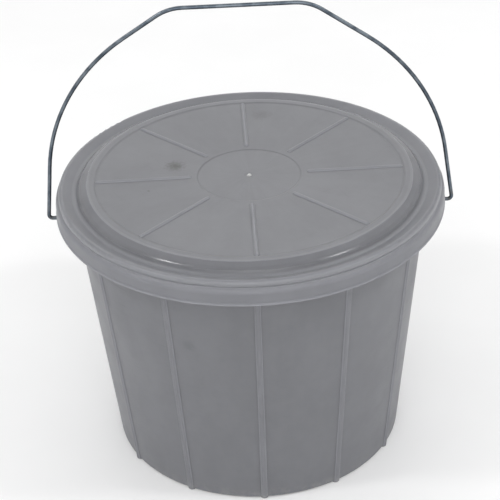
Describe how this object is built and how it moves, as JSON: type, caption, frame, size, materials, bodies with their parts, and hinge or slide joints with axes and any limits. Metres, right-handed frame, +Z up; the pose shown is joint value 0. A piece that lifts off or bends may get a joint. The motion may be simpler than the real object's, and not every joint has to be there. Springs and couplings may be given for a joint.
{
  "type": "lidded bucket",
  "caption": "Round tapered plastic bucket with ribbed walls, a turned-over collar, a press-in lid and a swinging wire bail.",
  "frame": {"origin": "on the bucket's axis, at the floor under the foot ring", "axes": "+Z up, +X to the right through the right ear and the bail's pivot, -Y to the front"},
  "size_m": [0.313, 0.2974, 0.3648],
  "materials": {
    "tub_plastic": "natural translucent polypropylene, moulded, semi-gloss",
    "lid_plastic": "natural translucent polypropylene, moulded, satin with fine moulded texture",
    "zinc_wire": "bright zinc-plated drawn steel wire"
  },
  "bodies": {
    "tub": {"tub": "tub_plastic"},
    "lid": {"lid": "lid_plastic"},
    "bail": {"bail": "zinc_wire"}
  },
  "joints": [
    {"name": "bail_swing", "type": "hinge", "parent": "tub", "child": "bail", "pos_m": [0, 0, 0.1933], "axis": [1, 0, 0], "range_deg": [-131, 131]},
    {"name": "lid_lift", "type": "slide", "parent": "tub", "child": "lid", "axis": [0, 0, 1], "range_m": [0, 0.024]}
  ]
}
